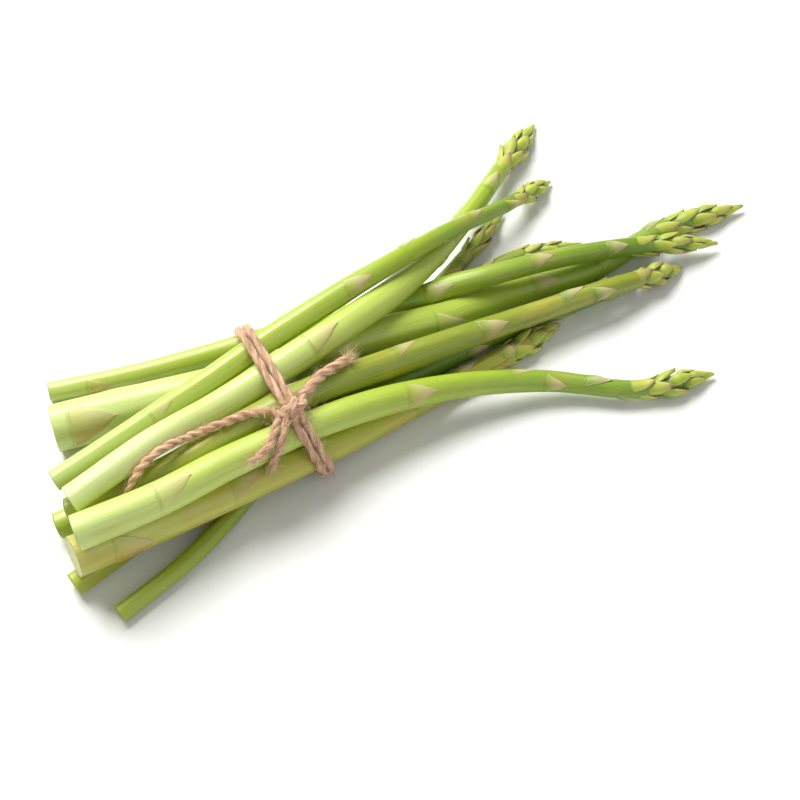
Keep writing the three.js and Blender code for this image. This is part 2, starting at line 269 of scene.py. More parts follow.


# %% [markdown]
# ## The spears' leaves
#
# An asparagus spear is a young shoot. Every scale leaf starts from a node: a faint ring round the stem, with
# a flat triangular leaf pressed to the skin above it. The leaves climb in a spiral and come closer towards
# the tip. This table gives, for each spear, how far from the cut end each leaf starts, in millimetres, and
# how far it is turned from the top of the spear towards the front, in degrees. The last number says how much
# of the leaf has rusted to brown. The tones say how much darker or paler than the others each spear is, and
# the ochre how far it has yellowed. Spear_05's dark tone and much of its ochre are painted shade: they give
# it the olive of a spear that lies in the shadow of its neighbours.

# %% Leaves of each spear
SPEARS = {
    "spear_01": [(13, 72, 0.9), (58, 215, 0), (94, -70, 0), (131, 36, 0.1), (152, 170, 0), (168, 20, 0.1),
                 (184, -115, 0), (196, 30, 0), (206, 160, 0)],
    "spear_02": [(5, 48, 0.6), (18, -84, 0), (62, 190, 0), (98, -150, 0), (131, 70, 0.1), (153, -100, 0),
                 (172, 20, 0.1), (186, 165, 0), (197, 0, 0.2), (212, 80, 0), (220, -60, 0)],
    "spear_03": [(37, 24, 0.1), (78, 200, 0), (116, 40, 0.3), (142, -62, 0), (160, 150, 0), (177, -8, 0.1),
                 (188, 190, 0), (197, 62, 0.6)],
    "spear_04": [(44, 200, 0), (95, 8, 0.2), (137, -130, 0), (160, 140, 0), (172, 24, 0), (183, -70, 0),
                 (196, 160, 0), (204, 20, 0)],
    "spear_05": [(58, 165, 0), (88, -140, 0), (118, -28, 0.3), (150, 36, 0.5), (168, 170, 0), (183, -20, 0),
                 (194, 62, 0.1), (206, -140, 0)],
    "spear_06": [(27, 6, 0.1), (72, 200, 0), (98, -110, 0), (119, 40, 0.5), (141, 175, 0), (156, -50, 0.2),
                 (168, 56, 0.2), (182, -15, 0), (193, 150, 0)],
    "spear_07": [(12, 76, 1.0), (54, 14, 0.7), (84, -120, 0), (104, 160, 0), (124, 50, 0.3), (142, -20, 0.5),
                 (153, 120, 0.2), (161, 20, 0.5)],
    "spear_08": [(40, -60, 0), (86, 60, 0.2), (120, 190, 0), (150, 80, 0.2), (172, -30, 0), (186, 150, 0),
                 (196, 50, 0)],
    "spear_09": [(52, -80, 0), (92, 120, 0), (124, 10, 0.1), (152, -120, 0), (170, 60, 0), (184, -20, 0),
                 (196, 140, 0)],
    "spear_10": [(92, -150, 0.3), (124, 20, 0.3), (145, 140, 0.2), (160, -60, 0.8), (172, 60, 0.6),
                 (181, -160, 0.5)],
}
# painted shade: spear_05's high tone and part of its ochre darken it as if it lay in its neighbours' shadow
TONES_AND_SHADE = {"spear_01": 0.14, "spear_02": 0.10, "spear_03": 0.05, "spear_04": -0.08, "spear_05": 0.56,
         "spear_06": 0.16, "spear_07": 0.18, "spear_08": 0.40, "spear_09": 0.42, "spear_10": 0.66}
OCHRE_AND_SHADE = {"spear_05": 0.55, "spear_07": 0.95, "spear_09": 0.4, "spear_10": 0.25}
NECK_RING = 20  # the ring of each rod at which its bud head starts
ROW_PITCH = 0.55 * MM
SKIN_SIDES = 44
TIP_RADIUS = 0.2 * MM
CORE_AT_TIP = 0.12  # what is left of the stem's radius at the tip of the bud head
CORE_SHARE = 0.8  # the most of the head's radius that the stem may take up
UP = np.array([0.0, 0.0, 1.0])


class Spear:
    """A spear's measures: centreline, directions and radii at even steps, read by distance from the butt."""

    def __init__(self, node, tone, ochre_and_shade):
        centres, radii = rings_of(node)
        self.tone = tone
        self.ochre_and_shade = ochre_and_shade
        if radii[0] < radii[-1]:
            centres, radii = centres[::-1], radii[::-1]
        known = distances(centres)
        self.length = known[-1]
        self.neck = known[NECK_RING]
        self.at = np.linspace(0, self.length, int(self.length / ROW_PITCH) + 1)
        self.line = smooth(known, centres, self.at)
        self.forward, self.side, self.other = frames(self.line, UP)
        self.envelope = np.maximum(smooth(known, radii[:, None], self.at)[:, 0], TIP_RADIUS)
        inside = np.clip((self.at - self.neck) / (self.length - self.neck), 0, 1)
        neck_radius = np.interp(self.neck, self.at, self.envelope)
        taper = neck_radius * (CORE_AT_TIP + (1 - CORE_AT_TIP) * (1 - inside) ** 0.62)
        thinned = np.minimum(taper, self.envelope * CORE_SHARE)
        self.core = np.where(self.at < self.neck, self.envelope, thinned)

    def read(self, values, at):
        """Any of the spear's rows of values, read straight between the two nearest rows."""
        if values.ndim == 1:
            return np.interp(at, self.at, values)
        return np.stack([np.interp(at, self.at, values[:, k]) for k in range(3)], axis=-1)

    def place(self, at, angle, radius):
        """Points at a distance along the spear, an angle round it and a radius out from its middle."""
        out = np.cos(angle)[..., None] * self.read(self.side, at)
        out = out + np.sin(angle)[..., None] * self.read(self.other, at)
        past_butt = np.minimum(at, 0)[..., None] * self.forward[0]
        points = self.read(self.line, at) + past_butt + radius[..., None] * unit(out)
        points[..., 2] = np.maximum(points[..., 2], FLOOR_GAP)
        return points


spears = {node: Spear(node, TONES_AND_SHADE[node], OCHRE_AND_SHADE.get(node, 0.0)) for node in SPEARS}
print({node: (round(s.length / MM), round(s.neck / MM)) for node, s in spears.items()})

# %% [markdown]
# ## The stem
#
# The stem is a rod with shallow ridges that run its whole length, and a small step where each leaf starts.
# Its cut end is nearly flat: the knife leaves a sharp edge, and the soft middle dries a little hollow. The
# knife went through at a slant, so that the side that faces up and to the front is the longest. The radius
# is the rod's own radius times the ridges, plus a narrow bump at each node that is highest under the leaf.
# In the bud head the stem thins out, because the head's leaves make up the rest of its thickness.

# %% Stem surface
CUT_SHARES = np.array([0.0, 0.3, 0.55, 0.78, 0.92, 0.975])
CUT_SLANTS = {"spear_01": 0.06, "spear_02": 0.12, "spear_03": 0.36, "spear_04": 0.40, "spear_05": 0.16,
              "spear_06": 0.36, "spear_07": 0.08, "spear_08": 0.20, "spear_09": 0.26, "spear_10": 0.30}
SLANT_REACH = 14 * MM
LONG_SIDE = math.radians(38)
NODE_WIDTH = 0.55 * MM
NODE_HEIGHT = 0.14 * MM
NODE_LINE = 0.4 * MM  # the width of the dark line below a node, and how far below it lies
HOLLOW_DEPTH = 0.35 * MM
EDGE_HEIGHT = 0.10 * MM
POLE_SHARE = 0.04  # the innermost ring of a cut face, so that its pole has some width round it


def angle_between(a, b):
    """The smaller angle between two directions round the stem."""
    return np.abs((a - b + math.pi) % TURN - math.pi)


def slanted(at, angle, radius, slant):
    """The distance along the spear less slant * r * cos(angle from the long side), fading out."""
    fade = 1 - smoothstep(at, 0, SLANT_REACH)
    return at - slant * radius * np.cos(angle - LONG_SIDE) * fade


def stem_skin(spear, leaves, slant, rng):
    """The rod's radius * (1 + ridges + swells) plus a bump at each node, and the cut face's rings."""
    at, angle = np.meshgrid(spear.at, np.arange(SKIN_SIDES) / SKIN_SIDES * TURN, indexing="ij")
    at = slanted(at, angle, spear.core[0], slant)
    radius = spear.read(spear.core, at)
    phase = rng.uniform(0, TURN, 4)
    ridges = 0.010 * np.cos(5 * angle + phase[0] + at * 9) + 0.006 * np.cos(9 * angle + phase[1] - at * 14)
    swells = 0.016 * np.cos(angle * 2 + phase[2] + at * 45) + 0.012 * np.sin(at * 110 + phase[3])
    radius = radius * (1 + ridges + swells)
    ring = np.zeros_like(at)
    for start, degrees, _ in leaves:
        near = np.exp(-(((at - start * MM) / NODE_WIDTH) ** 2))
        under = smoothstep(angle_between(angle, math.radians(degrees)), 1.7, 0.5)
        radius = radius + NODE_HEIGHT * near * (0.15 + 0.85 * under)
        line = np.exp(-(((at - start * MM + NODE_LINE) / NODE_LINE) ** 2))
        ring = np.maximum(ring, line * (0.10 + 0.90 * under))
    rings = spear.place(at, angle, radius)
    rim = rings[0] - rings[0].mean(0)
    inset = CUT_SHARES[:, None, None]
    depth = HOLLOW_DEPTH * (1 - inset**2) + EDGE_HEIGHT * (inset > 0.9)
    cut = rings[0].mean(0) + rim * inset + depth * spear.forward[0]
    cut[0] = cut[0].mean(0) + rim * POLE_SHARE
    cut[..., 2] = np.maximum(cut[..., 2], FLOOR_GAP)
    steps = np.concatenate([np.repeat(at[:1], len(inset), axis=0), at])
    turns = np.concatenate([np.repeat(angle[:1], len(inset), axis=0), angle])
    widths = np.concatenate([radius[0] * CUT_SHARES[:, None], radius])
    faces = np.concatenate([np.ones((len(inset), SKIN_SIDES)), np.zeros_like(at)])
    marks = {
        "straight": np.stack([widths * np.cos(turns), widths * np.sin(turns), steps], axis=-1) / MM,
        "growth": steps / spear.length,
        "leaf": np.zeros(steps.shape + (3,)),
        "kind": np.zeros_like(steps),
        "ring": np.concatenate([np.zeros((len(inset), SKIN_SIDES)), ring]),
        "cut": faces,
        # on spear_05 this ochre mark is partly painted shade
        "rust": np.full_like(steps, spear.ochre_and_shade),
        "tone": np.full_like(steps, spear.tone),
    }
    return rod_skin(np.concatenate([cut, rings]), marks)


# %% [markdown]
# ## Scale leaves
#
# A scale leaf is a triangle with slightly curved sides, wrapped round the stem. It is thickest in the
# middle, where a small bud sits behind it, and thin at its edges. Its width falls from the base to the tip as
# a power of what is left of its length. Its height over the skin rises at once behind the ring, sinks towards
# the edges, and lifts off again at the very tip.

# %% Leaf surface
LEAF_ROWS = 22
LEAF_COLUMNS = 17
LEAF_THICKNESS = 0.30 * MM
BUD_THICKNESS = 0.25 * MM
HALF_WRAP = math.radians(60)  # how far round the stem a leaf's base reaches to each side


def leaf_grid():
    """The two parameters of every leaf: s from base to tip, and t from one edge to the other."""
    return np.meshgrid(np.linspace(0, 1, LEAF_ROWS), np.linspace(-1, 1, LEAF_COLUMNS), indexing="ij")


def leaf_marks(spear, at, angle, radius, s, t, kind, rust, rng):
    """What a leaf tells its material: its place on the straightened spear, s and t, and its rust."""
    straight = np.stack([radius * np.cos(angle), radius * np.sin(angle), at], axis=-1) / MM
    return {
        "straight": straight,
        "growth": at / spear.length,
        "leaf": np.stack([t, s, np.full_like(s, rng.uniform())], axis=-1),
        "kind": np.full_like(s, kind),
        "ring": np.zeros_like(s),
        "cut": np.zeros_like(s),
        "rust": np.full_like(s, rust),
        "tone": np.full_like(s, spear.tone),
    }


def scale_leaf(spear, start, turned, rust, rng):
    """Half its wrap is 60 degrees * (1 - s) to a power; its height is a rise, a bud and a lifted tip."""
    s, t = leaf_grid()
    start = start * MM
    width = spear.read(spear.envelope, start) * 2
    late = smoothstep(start, 0.75 * spear.neck, spear.neck)
    length = (0.85 * width + 3.0 * MM) * rng.uniform(0.88, 1.12)
    length = min(length, 0.97 * (spear.length - start))
    half = HALF_WRAP * (1 - s) ** rng.uniform(0.80, 1.05) * (1 + 0.15 * s) + 0.01
    wave = 0.02 * np.sin(s * 13 + rng.uniform(0, TURN)) * t
    angle = math.radians(turned) + t * half + wave + rng.uniform(-0.10, 0.10) * s
    at = np.clip(start + s * length * (1 - 0.05 * t**2), 0, spear.length)
    body = spear.read(spear.core, at)
    rise = smoothstep(s, -0.05, 0.10) * (0.45 + 0.55 * (1 - t**2) ** 0.6)
    bud = np.exp(-(((s - 0.42) / 0.30) ** 2)) * (1 - t**2) ** 1.2
    lift = (0.03 + 0.13 * rise + (0.14 + 0.80 * late) * bud + (0.03 + 0.60 * late) * s**5) * MM
    outer = spear.place(at, angle, body + lift)
    inner = spear.place(at, angle, body + lift - LEAF_THICKNESS - BUD_THICKNESS * bud)
    marks = leaf_marks(spear, at, angle, body + lift, s, t, 1.0, rust, rng)
    return leaf_skin(outer, inner, marks)


# %% [markdown]
# ## Bud heads
#
# At the tip the leaves are so close that they overlap like roof tiles, each with a bud behind it. They sit
# on a spiral with the angle that plants keep to, 137.5 degrees, so that no leaf stands right over another.
# A leaf of the head starts on the thin stem and swells out to the head's full thickness. Its outline is an
# egg shape drawn out to a point, and the last leaves close round the tip.

# %% Head surface
GOLDEN_TURN = math.radians(137.508)
FRESH = 0.15  # how dry and brown most heads' leaves are, from 0 to 1, and which heads are drier
BUD_DRYNESS = {"spear_05": 0.75, "spear_07": 0.85, "spear_08": 0.5, "spear_09": 0.5, "spear_10": 0.8}
HEAD_LEAF_THICKNESS = 0.28 * MM
LEAST_LEAVES = 10
LEAVES_PER_MM = 0.28
FIRST_START = -0.32  # where the head's first leaf starts, below the neck, as a share of the head's height
START_SPAN = 1.06  # and how far from there to where the last one starts


def head_leaf(spear, start, length, turned, wide, loose, dryness, rng):
    """From the thin stem out to the head's full radius, with the outline of an egg drawn to a point."""
    s, t = leaf_grid()
    outline = (1 - s) ** 0.80 * (0.66 + 1.35 * s * (1 - 0.45 * s)) + 0.012
    at = np.clip(start + s * length * (1 - 0.16 * t**2 * (1 - s)), 0, spear.length * 0.9995)
    envelope = spear.read(spear.envelope, at)
    core = spear.read(spear.core, at)
    reach = np.maximum(envelope, 0.55 * MM)
    angle = turned + t * np.minimum(wide * outline / reach, 1.5) + rng.uniform(-0.15, 0.15) * s
    swell = smoothstep(s, -0.06, 0.50)
    dome = (1 - t**2) ** 0.75
    full = core * 0.9 + (envelope - core * 0.9) * (0.84 + 0.42 * dome)
    radius = core * 0.9 + (full - core * 0.9) * swell + (loose * s**2.5 + 0.22 * dome * swell - 0.05) * MM
    radius = np.maximum(radius, 0.12 * MM)
    outer = spear.place(at, angle, radius)
    under = radius - HEAD_LEAF_THICKNESS - 0.3 * (radius - core) * dome
    inner = spear.place(at, angle, np.maximum(under, 0.04 * MM))
    rust = float(np.clip(dryness + rng.uniform(-0.2, 0.25), 0, 1))
    marks = leaf_marks(spear, at, angle, radius, s, t, 2.0, rust, rng)
    return leaf_skin(outer, inner, marks)


def head_skins(spear, dryness, rng):
    """Leaves up the head: each starts a little less far above the one before, and turns on by one step."""
    height = spear.length - spear.neck
    count = int(round(LEAST_LEAVES + height / MM * LEAVES_PER_MM))
    turned = rng.uniform(0, TURN)
    widest = spear.envelope[spear.at > spear.neck].max()
    skins = []
    for k in range(count):
        climb = (k / (count - 1)) ** 0.88
        start = spear.neck + height * (FIRST_START + START_SPAN * climb)
        left = spear.length - start
        length = min(left, height * (0.38 - 0.04 * climb) * rng.uniform(0.90, 1.12))
        wide = widest * (0.98 - 0.36 * climb) * rng.uniform(0.92, 1.08)
        loose = 1.1 * (1 - climb) * rng.uniform(0.15, 1.0)
        skins.append(head_leaf(spear, start, length, turned + k * GOLDEN_TURN, wide, loose, dryness, rng))
    return skins


# %% [markdown]
# ## Materials in sentences
#
# A material is a net of nodes. Writing the net as sums and products keeps it readable, so a small class
# stands for a wire and turns + - * into Math nodes. Colours are mixed by Mix nodes only, because a Math node
# would turn them grey.


# %% Recipes
class Wire:
    """A number that flows through a material. Sums and products of wires add Math nodes."""

    def __init__(self, recipe, socket):
        self.recipe = recipe
        self.socket = socket

    def math(self, operation, first, second):
        return self.recipe.node("Math", {"operation": operation}, {0: first, 1: second})

    def __add__(self, other):
        return self.math("ADD", self, other)

    def __sub__(self, other):
        return self.math("SUBTRACT", self, other)

    def __mul__(self, other):
        return self.math("MULTIPLY", self, other)

    def __rsub__(self, other):
        return self.math("SUBTRACT", other, self)

    __radd__ = __add__
    __rmul__ = __mul__

    def size(self):
        return self.recipe.node("Math", {"operation": "ABSOLUTE"}, {0: self})

    def rise(self, low, high):
        """0 below low, 1 above high, smooth between them."""
        settings = {"interpolation_type": "SMOOTHSTEP"}
        sockets = {"Value": self, "From Min": low, "From Max": high}
        return self.recipe.node("MapRange", settings, sockets)


class Recipe:
    """A material in the making."""

    def __init__(self, name):
        self.material = bpy.data.materials.new(name)
        self.material.use_nodes = True
        self.tree = self.material.node_tree
        self.tree.nodes.clear()

    def node(self, kind, settings, sockets, out=0):
        """Adds one node: its settings first, then the values and links of its sockets."""
        made = self.tree.nodes.new("ShaderNode" + kind)
        for name, value in settings.items():
            if name == "stops":
                fill_ramp(made.color_ramp, value)
            else:
                setattr(made, name, value)
        for name, value in sockets.items():
            if isinstance(value, Wire):
                self.tree.links.new(value.socket, made.inputs[name])
            else:
                made.inputs[name].default_value = value
        return Wire(self, made.outputs[out])

    def mark(self, name):
        return self.node("Attribute", {"attribute_name": name}, {}, "Fac")

    def place(self, name):
        return self.node("Attribute", {"attribute_name": name}, {}, "Vector")

    def part(self, vector, axis):
        return self.node("SeparateXYZ", {}, {0: vector}, axis)

    def stretch(self, vector, factors):
        return self.node("VectorMath", {"operation": "MULTIPLY"}, {0: vector, 1: factors})

    def noise(self, vector, scale, detail=3.0, roughness=0.55):
        sockets = {"Vector": vector, "Scale": scale, "Detail": detail, "Roughness": roughness}
        return self.node("TexNoise", {}, sockets)

    def ramp(self, share, stops):
        return self.node("ValToRGB", {"stops": stops}, {0: share})

    def mix(self, first, second, share, how="MIX"):
        """Goes from the first colour to the second as share goes from 0 to 1."""
        settings = {"data_type": "RGBA", "blend_type": how}
        return self.node("Mix", settings, {0: share, 6: first, 7: second}, 2)

    def finish(self, colour, roughness, bump, strength, distance, constants):
        normal = self.node("Bump", {}, {"Height": bump, "Strength": strength, "Distance": distance})
        sockets = {"Base Color": colour, "Roughness": roughness, "Normal": normal} | constants
        shader = self.node("BsdfPrincipled", {}, sockets)
        self.show(shader)
        return self.material

    def show(self, shader):
        """Ends the net: this shader is what the surface looks like."""
        output = self.tree.nodes.new("ShaderNodeOutputMaterial")
        self.tree.links.new(shader.socket, output.inputs[0])


def fill_ramp(ramp, stops):
    """Gives a ramp as many stops as are asked for, then sets each one's place and colour."""
    while len(ramp.elements) < len(stops):
        ramp.elements.new(1.0)
    for element, (position, colour) in zip(ramp.elements, stops):
        element.position = position
        element.color = colour


def paint(red, green, blue):
    """A colour from its three screen values, 0 to 255, as the light values that a shader wants."""
    screen = np.array([red, green, blue]) / 255
    light = np.where(screen <= 0.04045, screen / 12.92, ((screen + 0.055) / 1.055) ** 2.4)
    return (*(float(v) for v in light), 1.0)


# %% [markdown]
# ## Asparagus skin
#
# The skin is pale yellow-green near the cut end and greener towards the tip. Fine lines run along the
# stem, which is why the pattern is read on the straightened spear and stretched lengthwise. A dark line
# marks each node. A few stems have yellowed to ochre in patches. On spear_05 the ochre, together with its
# darker tone, is partly painted shade.


# %% Skin pattern and stem
class SkinPattern:
    """What the skin reads: the mesh's marks, and noises on the straightened spear."""

    def __init__(self, recipe):
        straight = recipe.place("straight")
        leaf = recipe.place("leaf")
        self.growth = recipe.mark("growth")
        self.kind = recipe.mark("kind")
        self.ring = recipe.mark("ring")
        self.cut = recipe.mark("cut")
        self.rust = recipe.mark("rust")
        self.tone = recipe.mark("tone")
        self.turned = recipe.part(leaf, 0)
        self.across = self.turned.size()
        self.climb = recipe.part(leaf, 1)
        self.chance = recipe.part(leaf, 2)
        self.old = self.growth.rise(0.05, 0.55) * 0.5 + 0.5
        self.lines = recipe.noise(recipe.stretch(straight, (1.6, 1.6, 0.030)), 1.0, 4.0)
        self.fine = recipe.noise(recipe.stretch(straight, (5.0, 5.0, 0.16)), 1.0, 3.0)
        self.patches = recipe.noise(recipe.stretch(straight, (0.16, 0.16, 0.05)), 1.0, 3.0)
        self.dots = recipe.noise(straight, 2.2, 4.0, 0.7)


PALE_LINE = paint(214, 224, 152)
DARK_LINE = paint(126, 140, 20)
YELLOW_PATCH = paint(192, 180, 78)
FINE_LINE = paint(160, 168, 50)
OCHRE_AND_SHADE_PATCH = paint(186, 166, 58)
SPECK = paint(150, 132, 58)
NODE_RING = paint(126, 128, 44)


def skin_colour(recipe, skin, stops):
    """From the butt's colour to the tip's by the growth, the spear's tone and patches; then the lines."""
    colour = recipe.ramp(skin.growth + skin.tone + (skin.patches - 0.5) * 0.30, stops)
    colour = recipe.mix(colour, PALE_LINE, skin.lines.rise(0.52, 0.80) * 0.24)
    colour = recipe.mix(colour, DARK_LINE, skin.lines.rise(0.46, 0.24) * 0.24)
    colour = recipe.mix(colour, YELLOW_PATCH, skin.patches.rise(0.54, 0.72) * 0.30)
    colour = recipe.mix(colour, FINE_LINE, skin.fine.rise(0.56, 0.76) * 0.14)
    # the ochre patches: real yellowing, and partly painted shade on spear_05
    yellowed = (skin.patches * 0.6 + skin.lines * 0.6).rise(0.30, 0.75)
    return recipe.mix(colour, OCHRE_AND_SHADE_PATCH, skin.rust * yellowed * 0.8)


def stem_colour(recipe, skin, plain):
    """The skin with brown specks in some patches, and a dark ring at each node."""
    specks = skin.dots.rise(0.66, 0.74) * skin.patches.rise(0.44, 0.60)
    colour = recipe.mix(plain, SPECK, specks * 0.35)
    return recipe.mix(colour, NODE_RING, skin.ring * 0.42)


# %% [markdown]
# ## Leaf colours
#
# The stem's leaves start in the skin's own colour and turn beige with a pinkish flush, a papery edge and a
# brown point. The head's leaves are yellow-green with pale edges and brown tips, and dry ones are brown all
# over. Every change of colour follows one of two measures: how far up the leaf a point is, and how near to
# its edge.

# %% Leaf colours
BEIGE = paint(206, 194, 142)
PINK_FLUSH = paint(190, 150, 130)
BROWN_POINT = paint(150, 124, 88)
PAPER_EDGE = paint(228, 228, 184)
BROWN_RIM = paint(150, 126, 66)
RUSTED = paint(182, 140, 64)
BUD_STOPS = [(0.0, paint(104, 146, 26)), (0.24, paint(156, 176, 38)), (0.66, paint(182, 190, 62)),
             (0.90, paint(178, 168, 84)), (1.0, paint(138, 106, 82))]
BUD_EDGE = paint(214, 214, 156)
BUD_RIM = paint(140, 106, 78)
WITHERED = paint(158, 124, 92)


def scale_colour(recipe, skin, plain):
    """From the skin's colour to beige up the leaf, then flush, point, edge, rim and rust."""
    climb, old = skin.climb, skin.old
    colour = recipe.mix(plain, BEIGE, climb.rise(0.02, 0.55) * old * 0.62)
    flush = (skin.fine + skin.lines).rise(0.85, 1.25) * climb.rise(0.1, 0.8)
    colour = recipe.mix(colour, PINK_FLUSH, flush * old * 0.62)
    colour = recipe.mix(colour, BROWN_POINT, climb.rise(0.80, 1.0) * old * 0.26)
    colour = recipe.mix(colour, PAPER_EDGE, skin.across.rise(0.82, 0.95) * (0.45 - climb * 0.30) * old)
    rim = skin.across.rise(0.93, 1.0) * climb.rise(0.05, 0.3)
    colour = recipe.mix(colour, BROWN_RIM, rim * old * 0.32)
    worn = (skin.patches + skin.fine + skin.turned * 0.45 + climb * 0.2).rise(1.10, 1.50)
    return recipe.mix(colour, RUSTED, skin.rust * worn * 0.85)


def bud_colour(recipe, skin):
    """A ramp up the leaf, shifted by chance for each leaf; then edge, rim and dryness."""
    climb = skin.climb
    shade = climb + (skin.fine - 0.5) * 0.25 + (skin.chance - 0.5) * 0.30
    colour = recipe.ramp(shade, BUD_STOPS)
    colour = recipe.mix(colour, BUD_EDGE, skin.across.rise(0.66, 0.92) * 0.42)
    colour = recipe.mix(colour, BUD_RIM, skin.across.rise(0.90, 1.0) * climb.rise(0.15, 0.7) * 0.60)
    withered = (skin.chance * 0.5 + skin.fine + climb * 0.4).rise(0.75, 1.30)
    return recipe.mix(colour, WITHERED, skin.rust * withered * 0.85)


# %% [markdown]
# ## The whole skin
#
# The cut face is cream with the dots of the stem's fibres. The mark "kind" is 0 on the stem, 1 on its leaves
# and 2 on the head's leaves, and chooses between the colours. The skin is waxy: fairly smooth on the stem
# and duller on the leaves and the cut.

# %% Skin material
CUT_FACE = paint(214, 214, 158)
CUT_DOTS = paint(176, 182, 96)
SKIN_RELIEF = 0.28  # how strongly the lines show in relief, and how deep they are
SKIN_DEPTH = 0.0003


def skin_material(name, butt, low, high, tip):
    """One finish of the spears, from the four colours that its stem goes through."""
    recipe = Recipe(name)
    skin = SkinPattern(recipe)
    plain = skin_colour(recipe, skin, [(0.0, butt), (0.35, low), (0.72, high), (1.0, tip)])
    face = recipe.mix(CUT_FACE, CUT_DOTS, skin.dots.rise(0.45, 0.62) * 0.7)
    colour = recipe.mix(stem_colour(recipe, skin, plain), face, skin.cut)
    colour = recipe.mix(colour, scale_colour(recipe, skin, plain), skin.kind.rise(0.4, 0.6))
    colour = recipe.mix(colour, bud_colour(recipe, skin), skin.kind.rise(1.4, 1.6))
    roughness = 0.40 + (skin.fine - 0.5) * 0.14 + skin.kind.rise(0.4, 0.6) * 0.12 + skin.cut * 0.25
    height = skin.lines * 0.6 + skin.fine * 0.4 + skin.dots * 0.10 - skin.ring * 0.2
    constants = {"Subsurface Weight": 0.12, "Subsurface Radius": (0.7, 1.0, 0.25),
                 "Subsurface Scale": 0.0016, "Specular IOR Level": 0.75}
    return recipe.finish(colour, roughness, height, SKIN_RELIEF, SKIN_DEPTH, constants)


GREEN_SKIN = skin_material("asparagus_green", paint(188, 204, 116), paint(169, 187, 58),
                           paint(146, 170, 28), paint(104, 138, 14))
PALE_SKIN = skin_material("asparagus_pale", paint(208, 222, 148), paint(188, 205, 92),
                          paint(158, 181, 44), paint(116, 150, 24))
print("skins:", GREEN_SKIN.name, PALE_SKIN.name, len(GREEN_SKIN.node_tree.nodes), "nodes each")

# %% [markdown]
# ## Growing the spears
#
# Each spear is one piece: its stem, its leaves and its head are joined, and it takes the place of the rod.

# %% Spears
PALE_SPEARS = ("spear_02", "spear_04", "spear_06", "spear_07")
FIRST_SEED = 11


def grow(node, leaves, seed):
    """A whole spear from its rod: the stem, its leaves by the table, and the bud head's leaves."""
    rng = np.random.default_rng(seed)
    spear = spears[node]
    skins = [stem_skin(spear, leaves, CUT_SLANTS[node], rng)]
    skins += [scale_leaf(spear, start, degrees, rust, rng) for start, degrees, rust in leaves]
    skins += head_skins(spear, BUD_DRYNESS.get(node, FRESH), rng)
    pale = node in PALE_SPEARS
    material, slot = (PALE_SKIN, "spear_pale") if pale else (GREEN_SKIN, "spear_green")
    return add_piece(node.replace("spear", "asparagus"), skins, material, [node])


for seed, (node, leaves) in enumerate(SPEARS.items(), start=FIRST_SEED):
    grown = grow(node, leaves, seed)
    print(grown.name, len(grown.data.polygons), "faces")

# %% [markdown]
# ## Jute yarn
#
# The string is two plies twisted round each other. Seen end on they are two overlapping circles, so the
# distance from the middle to the surface is a|cos| + sqrt(b^2 - a^2 sin^2) of the angle from the line through
# both circles. Carried along a line while it turns, this outline gives the twist. Its thickness wanders a
# little, as in any plant-fibre yarn.

# %% Yarn surface
YARN_RADIUS = 1.25 * MM
PLY_OFFSET = 0.32
PLY_RADIUS = 0.70
TWIST_PITCH = 8.5 * MM
LOOSE_PITCH = 17 * MM  # of the strands that are pulled tight round the bunch
YARN_SIDES = 30
YARN_STEP = 0.28 * MM


def least_bent(line):
    """The direction that a line turns least towards: the smallest main axis of its directions."""
    forward = unit(np.gradient(line, axis=0))
    return np.linalg.svd(forward, full_matrices=False)[2][2]


def even(points):
    """A smooth line through the points, with its own points at even steps."""
    known = distances(points)
    fine = smooth(known, points, np.linspace(0, known[-1], len(points) * 12))
    walked = distances(fine)
    at = np.linspace(0, walked[-1], int(walked[-1] / YARN_STEP) + 2)
    return np.stack([np.interp(at, walked, fine[:, k]) for k in range(3)], axis=1)


def yarn_skin(line, radius, rng, pitch=TWIST_PITCH, thin_end=1.0):
    """Two overlapping circles, turned as they go along the line, with a thickness that wanders."""
    walked = distances(line)
    forward, side, other = frames(line, least_bent(line))
    at, angle = np.meshgrid(walked, np.arange(YARN_SIDES) / YARN_SIDES * TURN, indexing="ij")
    phase = rng.uniform(0, TURN, 4)
    twist = angle - at / pitch * TURN - 0.5 * np.sin(at * 260 + phase[0]) - phase[1]
    outline = PLY_OFFSET * np.abs(np.cos(twist))
    outline = outline + np.sqrt(PLY_RADIUS**2 - (PLY_OFFSET * np.sin(twist)) ** 2)
    wander = 1 + 0.05 * np.sin(at * 520 + phase[2]) + 0.04 * np.sin(at * 1130 + phase[3])
    lay = angle - 0.6 * at / pitch * TURN
    fibre = 1 + 0.030 * np.cos(9 * lay + phase[1]) + 0.022 * np.cos(14 * lay + 3 * np.sin(at * 400))
    share = at / walked[-1]
    taper = thin_end + (1 - thin_end) * smoothstep(share, 1, 0.85)
    width = radius * outline * wander * fibre * taper
    out = np.cos(angle)[..., None] * side[:, None] + np.sin(angle)[..., None] * other[:, None]
    rings = line[:, None] + width[..., None] * out
    rings[..., 2] = np.maximum(rings[..., 2], FLOOR_GAP)
    # painted shade: the crease where the two plies meet, kept as a mark so that the material can darken it
    groove = np.abs(np.sin(twist)) ** 3
    straight = np.stack([np.cos(lay), np.sin(lay), at / radius], axis=-1)
    marks = {"straight": straight, "groove": groove, "loose": np.zeros_like(at)}
    return rod_skin(rings, marks)


# %% [markdown]
# ## Loose fibres
#
# Jute is never smooth. Short fibres stand off the yarn all along it, and a cut end opens to a brush. A
# fibre is a thin three-sided rod along a bent line: its start on the yarn, plus its direction times the
# distance, plus a bend times the distance squared, plus a curl that goes as the sine of the distance. All
# fibres of a piece are worked out together.

# %% Fibre surface
FIBRE_POINTS = 9
FIBRE_SIDES = 3
HAIR_RADII = (0.030 * MM, 0.065 * MM)
WISP_RADII = (0.024 * MM, 0.048 * MM)
BRISTLE_RADII = (0.045 * MM, 0.095 * MM)


